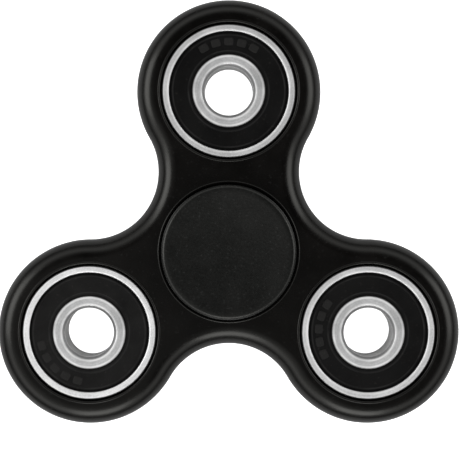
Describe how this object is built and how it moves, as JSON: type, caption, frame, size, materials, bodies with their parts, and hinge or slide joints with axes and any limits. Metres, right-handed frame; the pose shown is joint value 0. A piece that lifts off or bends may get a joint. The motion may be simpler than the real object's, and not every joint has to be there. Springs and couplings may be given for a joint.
{
  "type": "fidget spinner",
  "caption": "Lobed finger spinner: a rounded moulded frame on sealed ball bearings, held between dished finger caps.",
  "frame": {"origin": "on the spin axis, halfway through the thickness of the frame", "axes": "+Z along the spin axis, out of the top cap; +Y towards lobe A; +X across, towards lobe C's side"},
  "size_m": [0.0762, 0.07, 0.013],
  "materials": {
    "frame": "satin black moulding",
    "cap": "finely textured charcoal",
    "ring": "ground bearing steel",
    "seal": "moulded nitrile rubber",
    "cage": "natural nylon",
    "ball": "polished bearing steel"
  },
  "bodies": {
    "hub": {"top_cap": "cap", "bottom_cap": "cap", "center_inner_ring": "ring"},
    "rotor": {"frame": "frame", "center_outer_ring": "ring", "center_top_seal": "seal", "center_bottom_seal": "seal", "lobe_a_outer_ring": "ring", "lobe_a_top_seal": "seal", "lobe_a_bottom_seal": "seal", "lobe_b_outer_ring": "ring", "lobe_b_top_seal": "seal", "lobe_b_bottom_seal": "seal", "lobe_c_outer_ring": "ring", "lobe_c_top_seal": "seal", "lobe_c_bottom_seal": "seal"},
    "lobe_a_inner_ring": {"lobe_a_inner_ring": "ring"},
    "lobe_b_inner_ring": {"lobe_b_inner_ring": "ring"},
    "lobe_c_inner_ring": {"lobe_c_inner_ring": "ring"},
    "center_cage": {"center_cage": "cage"},
    "center_ball_1": {"center_ball_1": "ball"},
    "center_ball_2": {"center_ball_2": "ball"},
    "center_ball_3": {"center_ball_3": "ball"},
    "center_ball_4": {"center_ball_4": "ball"},
    "center_ball_5": {"center_ball_5": "ball"},
    "center_ball_6": {"center_ball_6": "ball"},
    "center_ball_7": {"center_ball_7": "ball"},
    "lobe_a_cage": {"lobe_a_cage": "cage"},
    "lobe_a_ball_1": {"lobe_a_ball_1": "ball"},
    "lobe_a_ball_2": {"lobe_a_ball_2": "ball"},
    "lobe_a_ball_3": {"lobe_a_ball_3": "ball"},
    "lobe_a_ball_4": {"lobe_a_ball_4": "ball"},
    "lobe_a_ball_5": {"lobe_a_ball_5": "ball"},
    "lobe_a_ball_6": {"lobe_a_ball_6": "ball"},
    "lobe_a_ball_7": {"lobe_a_ball_7": "ball"},
    "lobe_b_cage": {"lobe_b_cage": "cage"},
    "lobe_b_ball_1": {"lobe_b_ball_1": "ball"},
    "lobe_b_ball_2": {"lobe_b_ball_2": "ball"},
    "lobe_b_ball_3": {"lobe_b_ball_3": "ball"},
    "lobe_b_ball_4": {"lobe_b_ball_4": "ball"},
    "lobe_b_ball_5": {"lobe_b_ball_5": "ball"},
    "lobe_b_ball_6": {"lobe_b_ball_6": "ball"},
    "lobe_b_ball_7": {"lobe_b_ball_7": "ball"},
    "lobe_c_cage": {"lobe_c_cage": "cage"},
    "lobe_c_ball_1": {"lobe_c_ball_1": "ball"},
    "lobe_c_ball_2": {"lobe_c_ball_2": "ball"},
    "lobe_c_ball_3": {"lobe_c_ball_3": "ball"},
    "lobe_c_ball_4": {"lobe_c_ball_4": "ball"},
    "lobe_c_ball_5": {"lobe_c_ball_5": "ball"},
    "lobe_c_ball_6": {"lobe_c_ball_6": "ball"},
    "lobe_c_ball_7": {"lobe_c_ball_7": "ball"}
  },
  "joints": [
    {"name": "frame_spin", "type": "hinge", "parent": "hub", "child": "rotor", "pos_m": [0, 0, 0], "axis": [0, 0, 1], "continuous": true},
    {"name": "lobe_a_ring_spin", "type": "hinge", "parent": "rotor", "child": "lobe_a_inner_ring", "pos_m": [0, 0.0264, 0], "axis": [0, 0, 1], "continuous": true},
    {"name": "lobe_b_ring_spin", "type": "hinge", "parent": "rotor", "child": "lobe_b_inner_ring", "pos_m": [-0.02286, -0.0132, 0], "axis": [0, 0, 1], "continuous": true},
    {"name": "lobe_c_ring_spin", "type": "hinge", "parent": "rotor", "child": "lobe_c_inner_ring", "pos_m": [0.02286, -0.0132, 0], "axis": [0, 0, 1], "continuous": true},
    {"name": "center_cage_turn", "type": "hinge", "parent": "hub", "child": "center_cage", "pos_m": [0, 0, 0], "axis": [0, 0, 1], "continuous": true},
    {"name": "center_ball_1_roll", "type": "hinge", "parent": "center_cage", "child": "center_ball_1", "pos_m": [0, 0.0075, 0], "axis": [0, 0, 1], "continuous": true},
    {"name": "center_ball_2_roll", "type": "hinge", "parent": "center_cage", "child": "center_ball_2", "pos_m": [-0.00586, 0.00468, 0], "axis": [0, 0, 1], "continuous": true},
    {"name": "center_ball_3_roll", "type": "hinge", "parent": "center_cage", "child": "center_ball_3", "pos_m": [-0.00731, -0.00167, 0], "axis": [0, 0, 1], "continuous": true},
    {"name": "center_ball_4_roll", "type": "hinge", "parent": "center_cage", "child": "center_ball_4", "pos_m": [-0.00325, -0.00676, 0], "axis": [0, 0, 1], "continuous": true},
    {"name": "center_ball_5_roll", "type": "hinge", "parent": "center_cage", "child": "center_ball_5", "pos_m": [0.00325, -0.00676, 0], "axis": [0, 0, 1], "continuous": true},
    {"name": "center_ball_6_roll", "type": "hinge", "parent": "center_cage", "child": "center_ball_6", "pos_m": [0.00731, -0.00167, 0], "axis": [0, 0, 1], "continuous": true},
    {"name": "center_ball_7_roll", "type": "hinge", "parent": "center_cage", "child": "center_ball_7", "pos_m": [0.00586, 0.00468, 0], "axis": [0, 0, 1], "continuous": true},
    {"name": "lobe_a_cage_turn", "type": "hinge", "parent": "rotor", "child": "lobe_a_cage", "pos_m": [0, 0.0264, 0], "axis": [0, 0, 1], "continuous": true},
    {"name": "lobe_a_ball_1_roll", "type": "hinge", "parent": "lobe_a_cage", "child": "lobe_a_ball_1", "pos_m": [0, 0.0339, 0], "axis": [0, 0, 1], "continuous": true},
    {"name": "lobe_a_ball_2_roll", "type": "hinge", "parent": "lobe_a_cage", "child": "lobe_a_ball_2", "pos_m": [-0.00586, 0.03108, 0], "axis": [0, 0, 1], "continuous": true},
    {"name": "lobe_a_ball_3_roll", "type": "hinge", "parent": "lobe_a_cage", "child": "lobe_a_ball_3", "pos_m": [-0.00731, 0.02473, 0], "axis": [0, 0, 1], "continuous": true},
    {"name": "lobe_a_ball_4_roll", "type": "hinge", "parent": "lobe_a_cage", "child": "lobe_a_ball_4", "pos_m": [-0.00325, 0.01964, 0], "axis": [0, 0, 1], "continuous": true},
    {"name": "lobe_a_ball_5_roll", "type": "hinge", "parent": "lobe_a_cage", "child": "lobe_a_ball_5", "pos_m": [0.00325, 0.01964, 0], "axis": [0, 0, 1], "continuous": true},
    {"name": "lobe_a_ball_6_roll", "type": "hinge", "parent": "lobe_a_cage", "child": "lobe_a_ball_6", "pos_m": [0.00731, 0.02473, 0], "axis": [0, 0, 1], "continuous": true},
    {"name": "lobe_a_ball_7_roll", "type": "hinge", "parent": "lobe_a_cage", "child": "lobe_a_ball_7", "pos_m": [0.00586, 0.03108, 0], "axis": [0, 0, 1], "continuous": true},
    {"name": "lobe_b_cage_turn", "type": "hinge", "parent": "rotor", "child": "lobe_b_cage", "pos_m": [-0.02286, -0.0132, 0], "axis": [0, 0, 1], "continuous": true},
    {"name": "lobe_b_ball_1_roll", "type": "hinge", "parent": "lobe_b_cage", "child": "lobe_b_ball_1", "pos_m": [-0.02286, -0.0057, 0], "axis": [0, 0, 1], "continuous": true},
    {"name": "lobe_b_ball_2_roll", "type": "hinge", "parent": "lobe_b_cage", "child": "lobe_b_ball_2", "pos_m": [-0.02873, -0.00852, 0], "axis": [0, 0, 1], "continuous": true},
    {"name": "lobe_b_ball_3_roll", "type": "hinge", "parent": "lobe_b_cage", "child": "lobe_b_ball_3", "pos_m": [-0.03018, -0.01487, 0], "axis": [0, 0, 1], "continuous": true},
    {"name": "lobe_b_ball_4_roll", "type": "hinge", "parent": "lobe_b_cage", "child": "lobe_b_ball_4", "pos_m": [-0.02612, -0.01996, 0], "axis": [0, 0, 1], "continuous": true},
    {"name": "lobe_b_ball_5_roll", "type": "hinge", "parent": "lobe_b_cage", "child": "lobe_b_ball_5", "pos_m": [-0.01961, -0.01996, 0], "axis": [0, 0, 1], "continuous": true},
    {"name": "lobe_b_ball_6_roll", "type": "hinge", "parent": "lobe_b_cage", "child": "lobe_b_ball_6", "pos_m": [-0.01555, -0.01487, 0], "axis": [0, 0, 1], "continuous": true},
    {"name": "lobe_b_ball_7_roll", "type": "hinge", "parent": "lobe_b_cage", "child": "lobe_b_ball_7", "pos_m": [-0.017, -0.00852, 0], "axis": [0, 0, 1], "continuous": true},
    {"name": "lobe_c_cage_turn", "type": "hinge", "parent": "rotor", "child": "lobe_c_cage", "pos_m": [0.02286, -0.0132, 0], "axis": [0, 0, 1], "continuous": true},
    {"name": "lobe_c_ball_1_roll", "type": "hinge", "parent": "lobe_c_cage", "child": "lobe_c_ball_1", "pos_m": [0.02286, -0.0057, 0], "axis": [0, 0, 1], "continuous": true},
    {"name": "lobe_c_ball_2_roll", "type": "hinge", "parent": "lobe_c_cage", "child": "lobe_c_ball_2", "pos_m": [0.017, -0.00852, 0], "axis": [0, 0, 1], "continuous": true},
    {"name": "lobe_c_ball_3_roll", "type": "hinge", "parent": "lobe_c_cage", "child": "lobe_c_ball_3", "pos_m": [0.01555, -0.01487, 0], "axis": [0, 0, 1], "continuous": true},
    {"name": "lobe_c_ball_4_roll", "type": "hinge", "parent": "lobe_c_cage", "child": "lobe_c_ball_4", "pos_m": [0.01961, -0.01996, 0], "axis": [0, 0, 1], "continuous": true},
    {"name": "lobe_c_ball_5_roll", "type": "hinge", "parent": "lobe_c_cage", "child": "lobe_c_ball_5", "pos_m": [0.02612, -0.01996, 0], "axis": [0, 0, 1], "continuous": true},
    {"name": "lobe_c_ball_6_roll", "type": "hinge", "parent": "lobe_c_cage", "child": "lobe_c_ball_6", "pos_m": [0.03018, -0.01487, 0], "axis": [0, 0, 1], "continuous": true},
    {"name": "lobe_c_ball_7_roll", "type": "hinge", "parent": "lobe_c_cage", "child": "lobe_c_ball_7", "pos_m": [0.02873, -0.00852, 0], "axis": [0, 0, 1], "continuous": true}
  ],
  "couplings": [
    {"joint": "center_cage_turn", "follows": "frame_spin", "ratio": 0.6323},
    {"joint": "center_ball_1_roll", "follows": "frame_spin", "ratio": 1.7573},
    {"joint": "center_ball_2_roll", "follows": "frame_spin", "ratio": 1.7573},
    {"joint": "center_ball_3_roll", "follows": "frame_spin", "ratio": 1.7573},
    {"joint": "center_ball_4_roll", "follows": "frame_spin", "ratio": 1.7573},
    {"joint": "center_ball_5_roll", "follows": "frame_spin", "ratio": 1.7573},
    {"joint": "center_ball_6_roll", "follows": "frame_spin", "ratio": 1.7573},
    {"joint": "center_ball_7_roll", "follows": "frame_spin", "ratio": 1.7573},
    {"joint": "lobe_a_cage_turn", "follows": "lobe_a_ring_spin", "ratio": 0.3677},
    {"joint": "lobe_a_ball_1_roll", "follows": "lobe_a_ring_spin", "ratio": -1.7573},
    {"joint": "lobe_a_ball_2_roll", "follows": "lobe_a_ring_spin", "ratio": -1.7573},
    {"joint": "lobe_a_ball_3_roll", "follows": "lobe_a_ring_spin", "ratio": -1.7573},
    {"joint": "lobe_a_ball_4_roll", "follows": "lobe_a_ring_spin", "ratio": -1.7573},
    {"joint": "lobe_a_ball_5_roll", "follows": "lobe_a_ring_spin", "ratio": -1.7573},
    {"joint": "lobe_a_ball_6_roll", "follows": "lobe_a_ring_spin", "ratio": -1.7573},
    {"joint": "lobe_a_ball_7_roll", "follows": "lobe_a_ring_spin", "ratio": -1.7573},
    {"joint": "lobe_b_cage_turn", "follows": "lobe_b_ring_spin", "ratio": 0.3677},
    {"joint": "lobe_b_ball_1_roll", "follows": "lobe_b_ring_spin", "ratio": -1.7573},
    {"joint": "lobe_b_ball_2_roll", "follows": "lobe_b_ring_spin", "ratio": -1.7573},
    {"joint": "lobe_b_ball_3_roll", "follows": "lobe_b_ring_spin", "ratio": -1.7573},
    {"joint": "lobe_b_ball_4_roll", "follows": "lobe_b_ring_spin", "ratio": -1.7573},
    {"joint": "lobe_b_ball_5_roll", "follows": "lobe_b_ring_spin", "ratio": -1.7573},
    {"joint": "lobe_b_ball_6_roll", "follows": "lobe_b_ring_spin", "ratio": -1.7573},
    {"joint": "lobe_b_ball_7_roll", "follows": "lobe_b_ring_spin", "ratio": -1.7573},
    {"joint": "lobe_c_cage_turn", "follows": "lobe_c_ring_spin", "ratio": 0.3677},
    {"joint": "lobe_c_ball_1_roll", "follows": "lobe_c_ring_spin", "ratio": -1.7573},
    {"joint": "lobe_c_ball_2_roll", "follows": "lobe_c_ring_spin", "ratio": -1.7573},
    {"joint": "lobe_c_ball_3_roll", "follows": "lobe_c_ring_spin", "ratio": -1.7573},
    {"joint": "lobe_c_ball_4_roll", "follows": "lobe_c_ring_spin", "ratio": -1.7573},
    {"joint": "lobe_c_ball_5_roll", "follows": "lobe_c_ring_spin", "ratio": -1.7573},
    {"joint": "lobe_c_ball_6_roll", "follows": "lobe_c_ring_spin", "ratio": -1.7573},
    {"joint": "lobe_c_ball_7_roll", "follows": "lobe_c_ring_spin", "ratio": -1.7573}
  ]
}
